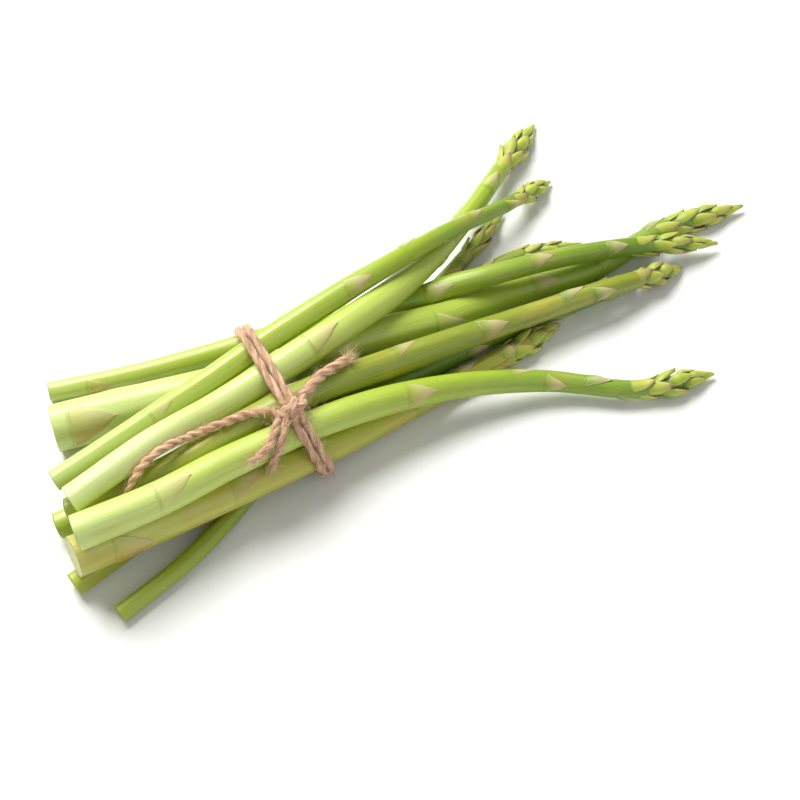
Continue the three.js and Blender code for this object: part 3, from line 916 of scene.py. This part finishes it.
def fibre_skins(starts, directions, bends, lengths, radii, shade):
    """One closed skin per fibre, all of them cut from one array of lines."""
    step = np.linspace(0, 1, FIBRE_POINTS)[None, :, None]
    curl = np.roll(bends, 1, axis=1)[:, None] * 0.55 * np.sin(step * 7.5)
    path = directions[:, None] * step + bends[:, None] * step**2 + curl
    lines = starts[:, None] + lengths[:, None, None] * path
    lines[..., 2] = np.maximum(lines[..., 2], 0.1 * MM)
    forward = unit(np.gradient(lines, axis=1))
    helper = unit(np.cross(forward, np.array([0.31, 0.52, 0.79])))
    third = np.cross(forward, helper)
    angle = (np.arange(FIBRE_SIDES) / FIBRE_SIDES * TURN)[:, None]
    round_it = np.cos(angle) * helper[:, :, None] + np.sin(angle) * third[:, :, None]
    slim = radii[:, None, None, None] * (1 - 0.75 * step[..., None])
    rings = lines[:, :, None] + slim * round_it
    shape = (FIBRE_POINTS, FIBRE_SIDES)
    skins = []
    for grid, tone in zip(rings, shade):
        marks = {
            "straight": np.broadcast_to(np.array([tone, 1 - tone, 0.5]), shape + (3,)),
            "groove": np.zeros(shape),
            "loose": np.full(shape, 0.4 + 0.6 * tone),
        }
        skins.append(rod_skin(grid, marks))
    return skins


def fuzz(line, radius, count, longest, rng, lean_most=1.6):
    """Fibres that start all round a yarn and lean along it, with a random bend."""
    pick = rng.integers(1, len(line) - 1, count)
    forward, side, other = frames(line, least_bent(line))
    angle = rng.uniform(0, TURN, count)[:, None]
    out = np.cos(angle) * side[pick] + np.sin(angle) * other[pick]
    lean = rng.choice([-1.0, 1.0], count)[:, None] * rng.uniform(0.4, lean_most, count)[:, None]
    direction = unit(out * rng.uniform(0.35, 1.1, (count, 1)) + lean * forward[pick])
    bend = rng.normal(0, 0.42, (count, 3)) - 0.25 * out
    length = rng.uniform(0.25, 1.0, count) ** 1.5 * longest
    starts = line[pick] + out * radius * 0.72
    radii = rng.uniform(*HAIR_RADII, count)
    return fibre_skins(starts, direction, bend, length, radii, rng.uniform(0, 1, count))


def wisps(middle, reach, count, longest, rng):
    """Thin hairs that start all round a place and curl away from it, more to the sides than upwards."""
    heading = unit(rng.normal(0, 1, (count, 3)) * np.array([1.0, 0.8, 0.45]))
    starts = middle + heading * reach
    side = rng.normal(0, 0.6, (count, 3)) * np.array([1.0, 1.0, 0.5])
    bend = rng.normal(0, 0.6, (count, 3)) * np.array([1.0, 1.0, 0.5]) - np.array([0, 0, 0.35])
    length = rng.uniform(0.3, 1.0, count) * longest
    radii = rng.uniform(*WISP_RADII, count)
    return fibre_skins(starts, unit(heading + side), bend, length, radii, rng.uniform(0.5, 1, count))


def brush(end, direction, count, spread, longest, rng):
    """Fibres that fan out of a cut end, each a little off the yarn's direction."""
    jitter = rng.normal(0, 1, (count, 3))
    starts = end + 0.55 * YARN_RADIUS * np.clip(jitter, -1.6, 1.6) - direction * 1.2 * MM
    heading = unit(direction + spread * jitter)
    bend = rng.normal(0, 0.16, (count, 3))
    length = rng.uniform(0.45, 1.0, count) * longest
    radii = rng.uniform(*BRISTLE_RADII, count)
    return fibre_skins(starts, heading, bend, length, radii, rng.uniform(0, 1, count))


# %% [markdown]
# ## Jute material
#
# Each fibre of the yarn has its own tone, from pale straw to a pinkish brown, so the colour comes from a
# noise that is drawn out along the yarn. The groove between the plies is painted darker: this is painted
# shade in the crease. The surface is matt, and the same noise raises it a little.


# %% Jute
YARN_STOPS = [(0.0, paint(110, 66, 46)), (0.30, paint(180, 128, 98)), (0.52, paint(214, 172, 138)),
              (0.72, paint(238, 210, 176)), (1.0, paint(250, 236, 214))]
FIBRE_STOPS = [(0.4, paint(204, 158, 118)), (0.7, paint(230, 204, 150)), (1.0, paint(238, 228, 176))]
PINK_STREAK = paint(214, 146, 136)
STRAW_STREAK = paint(226, 190, 124)
# the colour of the painted shade in the crease between the plies
PLY_GROOVE_SHADE = paint(140, 92, 64)
YARN_RELIEF = 0.55
YARN_DEPTH = 0.0004


def jute_material():
    """A ramp over drawn-out noise, with pink and straw streaks; loose fibres go by their own tone."""
    recipe = Recipe("jute_yarn")
    straight = recipe.place("straight")
    loose = recipe.mark("loose")
    hairs = recipe.noise(recipe.stretch(straight, (5.0, 5.0, 0.35)), 1.0, 4.0, 0.6)
    streaks = recipe.noise(recipe.stretch(straight, (2.0, 2.0, 0.12)), 1.0, 3.0)
    yarn = recipe.ramp((hairs - 0.5) * 2.2 + 0.5, YARN_STOPS)
    yarn = recipe.mix(yarn, PINK_STREAK, streaks.rise(0.46, 0.66) * 0.58)
    yarn = recipe.mix(yarn, STRAW_STREAK, streaks.rise(0.50, 0.32) * 0.40)
    # painted shade: the crease between the plies is darkened in the colour
    yarn = recipe.mix(yarn, PLY_GROOVE_SHADE, recipe.mark("groove") * 0.40)
    colour = recipe.mix(yarn, recipe.ramp(loose, FIBRE_STOPS), loose.rise(0.1, 0.3))
    roughness = 0.82 + (hairs - 0.5) * 0.2
    height = hairs + streaks * 0.4
    constants = {"Specular IOR Level": 0.25, "Sheen Weight": 0.35, "Sheen Roughness": 0.5}
    return recipe.finish(colour, roughness, height, YARN_RELIEF, YARN_DEPTH, constants)


JUTE = jute_material()
print("yarn:", JUTE.name, len(JUTE.node_tree.nodes), "nodes")

# %% [markdown]
# ## The tie
#
# Two strands run side by side round the bunch, following the rods of the frame. They were pulled tight, so
# they lie in the hollows between the spears only where a straight line can reach.

# %% Strands round the bunch
BAND_THICKNESS = 1.07  # compared with the plain yarn
BAND_HAIRS = 420
rng = np.random.default_rng(71)
band_lines = {}
for node in ("twine_band_left", "twine_band_right"):
    line = even(rings_of(node)[0])
    band_lines[node] = line
    skins = [yarn_skin(line, YARN_RADIUS * BAND_THICKNESS, rng, LOOSE_PITCH)]
    skins += fuzz(line, YARN_RADIUS, BAND_HAIRS, 6.5 * MM, rng, 4.5)
    add_piece(node.replace("twine", "jute"), skins, JUTE, [node])
    print(node, round(distances(line)[-1] / MM), "mm")

# %% [markdown]
# ## The cut ends
#
# Four cut ends leave the knot. The long one trails to the left over the spears for 57 mm. It is the only
# one long enough to count as a cord of its own. The route repeats the points of the frame's rod, in metres.

# %% Long tail
LONG_TAIL = MM * np.array([
    (-41.7, -46.4, 29.1), (-43.3, -46.8, 28.9), (-45.0, -47.0, 28.9), (-48.0, -47.6, 29.1),
    (-51.0, -48.4, 29.2), (-54.0, -49.6, 29.1), (-57.0, -51.0, 28.9), (-60.0, -52.2, 28.7),
    (-63.0, -53.4, 28.2), (-66.0, -54.7, 27.8), (-69.0, -56.3, 27.7), (-72.0, -58.4, 28.4),
    (-75.0, -60.8, 29.2), (-78.0, -63.6, 29.6), (-80.6, -66.4, 29.4), (-82.8, -69.1, 28.8),
    (-84.4, -71.4, 27.6), (-85.8, -73.2, 25.8), (-87.0, -74.4, 23.4),
])
TAIL_THICKNESS = 1.14
THIN_END = 0.8  # the yarn's thickness at a cut end, where it has lost fibres
TAIL_HAIRS = 300
rng = np.random.default_rng(72)
tail_line = even(LONG_TAIL)
tail_yarn = yarn_skin(tail_line, YARN_RADIUS * TAIL_THICKNESS, rng, TWIST_PITCH, THIN_END)
tail = add_piece("jute_tail_long", [tail_yarn], JUTE, ["twine_tail_long"])
tail_fibres = fuzz(tail_line, YARN_RADIUS, TAIL_HAIRS, 5.0 * MM, rng, 3.0)
tail_fibres += brush(tail_line[-1], unit(tail_line[-1] - tail_line[-6]), 46, 0.16, 4.2 * MM, rng)
tail_fuzz = add_piece("jute_tail_long_fibres", tail_fibres, JUTE)
print("long tail", round(distances(tail_line)[-1] / MM, 1), "mm")

# %% Short ends
# for each end: its thickness, the bristles of its brush, how far they spread and how long they are in mm
SHORT_ENDS = {"twine_tail_right": (1.36, 130, 0.24, 6.0), "twine_end_front_a": (1.15, 80, 0.22, 4.5),
              "twine_end_front_b": (1.0, 70, 0.20, 4.5)}
KNOT_MIDDLE = np.array(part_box("twine_knot")).mean(0)
rng = np.random.default_rng(73)
short_lines = {}
for node, (thick, bristles, spread, longest) in SHORT_ENDS.items():
    points = rings_of(node)[0]
    if np.linalg.norm(points[0] - KNOT_MIDDLE) > np.linalg.norm(points[-1] - KNOT_MIDDLE):
        points = points[::-1]
    line = even(points)
    short_lines[node] = line
    skins = [yarn_skin(line, YARN_RADIUS * thick, rng, TWIST_PITCH * 1.3, THIN_END)]
    skins += fuzz(line, YARN_RADIUS * thick, 160, 5.0 * MM, rng, 3.0)
    skins += brush(line[-1], unit(line[-1] - line[-6]), bristles, spread, longest * MM, rng)
    add_piece(node.replace("twine", "jute"), skins, JUTE, [node])
    print(node, round(distances(line)[-1] / MM, 1), "mm")

# %% [markdown]
# ## The knot
#
# The knot is made of the same yarn. One strand joins the long tail to the right-hand end over the top, two
# more come in from the tie's far side and leave to the front, two come in from its near side and end inside
# the knot, and a tight loop goes round them all. Each is a smooth line through a few points given in the
# knot's own directions: along the tie, along the bunch and outwards.

# %% Knot
def knot_axes():
    """The knot's main axes, longest first: along the bunch, along the tie, and outwards."""
    corners = np.array([v.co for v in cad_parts["twine_knot"].data.vertices])
    axes = np.linalg.svd(corners - corners.mean(0), full_matrices=False)[2]
    bunch = axes[0] * np.sign(axes[0][0])
    outwards = axes[2] * np.sign(axes[2][2])
    return np.cross(bunch, outwards), bunch, outwards


tie, bunch, outwards = knot_axes()
print("knot axes", tie.round(2), bunch.round(2), outwards.round(2))


def knot_point(along_tie, along_bunch, out):
    """A place in the knot, in millimetres from its middle along the knot's three directions."""
    return KNOT_MIDDLE + MM * (along_tie * tie + along_bunch * bunch + out * outwards)


def strand_end(node, far):
    """The end of a strand of the tie that is on the far or the near side of the knot."""
    ends = band_lines[node][[0, -1]]
    height = (ends - KNOT_MIDDLE) @ tie
    return ends[height.argmax() if far else height.argmin()]


KNOT_STRANDS = [
    [tail_line[3], knot_point(0.6, -3.2, 1.6), knot_point(0.3, 0, 2.6), knot_point(1.0, 2.6, 1.6),
     short_lines["twine_tail_right"][3]],
    [strand_end("twine_band_left", True), knot_point(2.2, -0.8, 0.6), knot_point(-0.6, -1.4, 1.2),
     short_lines["twine_end_front_a"][3]],
    [strand_end("twine_band_right", True), knot_point(2.4, 1.2, 0.4), knot_point(-0.6, 0.4, 0.9),
     short_lines["twine_end_front_b"][3]],
    [strand_end("twine_band_left", False), knot_point(-2.6, 0.6, -0.4), knot_point(0.2, -2.2, -0.6),
     knot_point(2.4, 0.0, -0.8)],
    [strand_end("twine_band_right", False), knot_point(-2.4, 2.0, 0.4), knot_point(0.4, 2.4, 0.6),
     knot_point(2.6, 0.6, -0.6)],
    [knot_point(1.4, -2.6, -0.8), knot_point(2.6, -0.9, 0.9), knot_point(1.0, 0.6, 2.9),
     knot_point(-1.6, 1.6, 1.8), knot_point(-2.9, 1.2, -0.6)],
]
KNOT_HAIRS = 50  # along each strand
KNOT_WISPS = 90
rng = np.random.default_rng(74)
knot_skins = []
for points in KNOT_STRANDS:
    line = even(np.array(points))
    knot_skins.append(yarn_skin(line, YARN_RADIUS * 1.02, rng))
    knot_skins += fuzz(line, YARN_RADIUS, KNOT_HAIRS, 5.0 * MM, rng)
knot_skins += wisps(KNOT_MIDDLE, 3.0 * MM, KNOT_WISPS, 7 * MM, rng)
add_piece("jute_knot", knot_skins, JUTE, ["twine_knot"])
print("knot:", len(KNOT_STRANDS), "strands,", len(knot_skins) - len(KNOT_STRANDS), "hairs")

# %% [markdown]
# ## Floor and light
#
# The bunch lies on a plain pale floor. A large soft light above and behind on the left gives the bright
# bands along the tops of the stems, a weaker one from the front right opens the shadows, and the pale sky
# fills the rest.


# %% Studio
FLOOR_REACH = 3.0
FLOOR_PAINT = (0.86, 0.86, 0.85, 1)


def add_floor():
    """A wide square at height 0."""
    mesh = bpy.data.meshes.new("floor")
    corners = [(x * FLOOR_REACH, y * FLOOR_REACH, 0) for x, y in ((-1, -1), (1, -1), (1, 1), (-1, 1))]
    mesh.from_pydata(corners, [], [(0, 1, 2, 3)])
    floor = bpy.data.objects.new("floor", mesh)
    bpy.context.scene.collection.objects.link(floor)
    recipe = Recipe("pale_floor")
    shader = recipe.node("BsdfPrincipled", {}, {"Base Color": FLOOR_PAINT, "Roughness": 0.9})
    recipe.show(shader)
    mesh.materials.append(recipe.material)


def add_light(name, place, aim, size, power, colour):
    """A round soft light: it is turned by its heading, and tipped until it points at its aim."""
    data = bpy.data.lights.new(name, "AREA")
    data.shape = "DISK"
    data.size = size
    data.energy = power
    data.color = colour
    light = bpy.data.objects.new(name, data)
    light.location = place
    direction = np.array(aim) - np.array(place)
    heading = math.atan2(direction[1], direction[0])
    drop = math.atan2(-direction[2], math.hypot(direction[0], direction[1]))
    light.rotation_euler = (math.pi / 2 - drop, 0, heading - math.pi / 2)
    bpy.context.scene.collection.objects.link(light)


def add_sky(colour, strength):
    """The same light from every direction."""
    world = bpy.data.worlds.new("sky")
    world.use_nodes = True
    background = world.node_tree.nodes["Background"]
    background.inputs["Color"].default_value = colour
    background.inputs["Strength"].default_value = strength
    bpy.context.scene.world = world


add_floor()
add_light("window", (-0.50, 0.62, 1.10), (0, 0, 0), 1.0, 30, (1.0, 1.0, 0.97))
add_light("fill", (0.8, -0.9, 0.9), (0, 0, 0), 1.2, 4, (0.98, 0.99, 1.0))
add_sky((1.0, 1.0, 1.0, 1.0), 0.34)
bpy.context.scene.view_settings.view_transform = "Standard"
